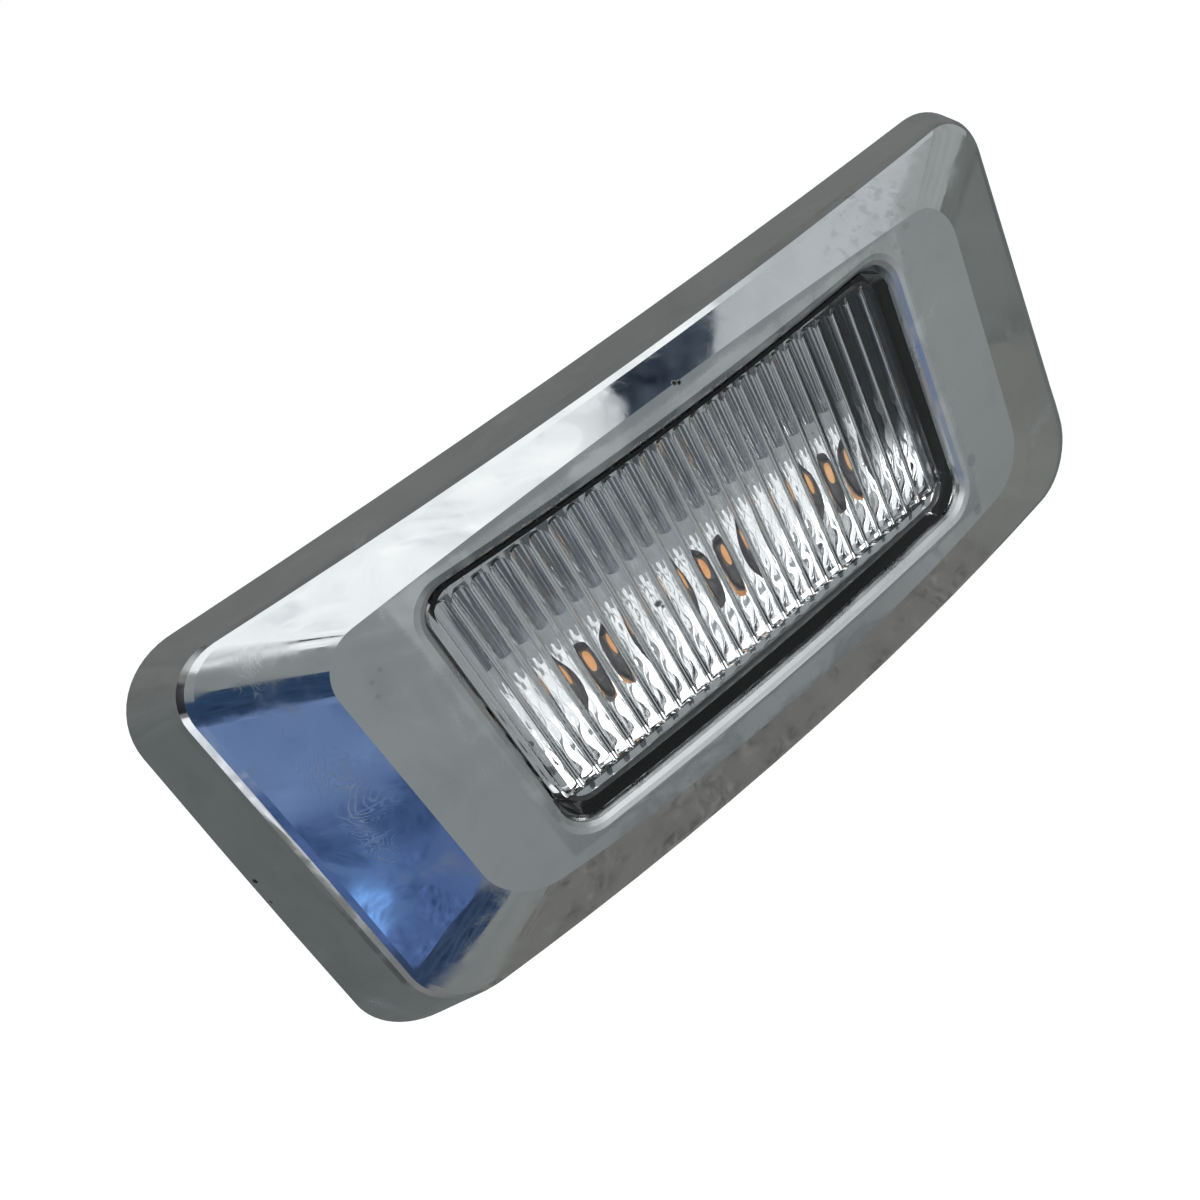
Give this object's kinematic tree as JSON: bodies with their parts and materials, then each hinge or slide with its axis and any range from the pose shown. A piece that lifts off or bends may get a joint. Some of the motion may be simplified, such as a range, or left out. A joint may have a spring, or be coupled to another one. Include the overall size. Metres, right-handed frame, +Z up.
{
  "type": "side marker lamp",
  "caption": "Car side marker lamp: crowned chrome bezel with sloped borders around a clear fluted lens, mirrored reflector and amber lights, in a snap-in black housing.",
  "frame": {"origin": "centre of the panel cut-out on the panel's outer surface, on the axis of the lens window", "axes": "upright as on the car: +X along the length to the right as seen from outside, +Z up, the face looks along -Y"},
  "size_m": [0.1076, 0.0358, 0.0501],
  "materials": {
    "chrome_trim": "bright chrome plate with fine wiping scratches",
    "clear_lens": "clear moulded plastic with upright flutes inside",
    "seal_rubber": "black rubber",
    "mirror_coat": "vacuum-plated moulding",
    "board_laminate": "black solder mask over laminate",
    "led_package": "grey light package",
    "amber_dome": "amber casting resin",
    "chip_body": "black chip body",
    "chip_ceramic": "tan chip ceramic",
    "pin_brass": "tinned brass",
    "screw_steel": "zinc-plated steel",
    "housing_plastic": "black moulded plastic",
    "gasket_foam": "closed-cell foam",
    "clip_steel": "spring steel strip",
    "vent_film": "white breathing film"
  },
  "bodies": {
    "root": {"chrome_bezel": "chrome_trim", "lens": "clear_lens", "lens_seal": "seal_rubber", "reflector": "mirror_coat", "led_board": "board_laminate", "led_body_1": "led_package", "led_body_2": "led_package", "led_body_3": "led_package", "led_dome_1": "amber_dome", "led_dome_2": "amber_dome", "led_dome_3": "amber_dome", "resistor_1": "chip_body", "resistor_2": "chip_body", "resistor_3": "chip_body", "diode": "chip_body", "capacitor": "chip_ceramic", "terminal_pin_1": "pin_brass", "terminal_pin_2": "pin_brass", "board_screws": "screw_steel", "rear_housing": "housing_plastic", "bezel_screws": "screw_steel", "panel_gasket": "gasket_foam", "spring_clip": "clip_steel", "vent_membrane": "vent_film"}
  },
  "joints": []
}
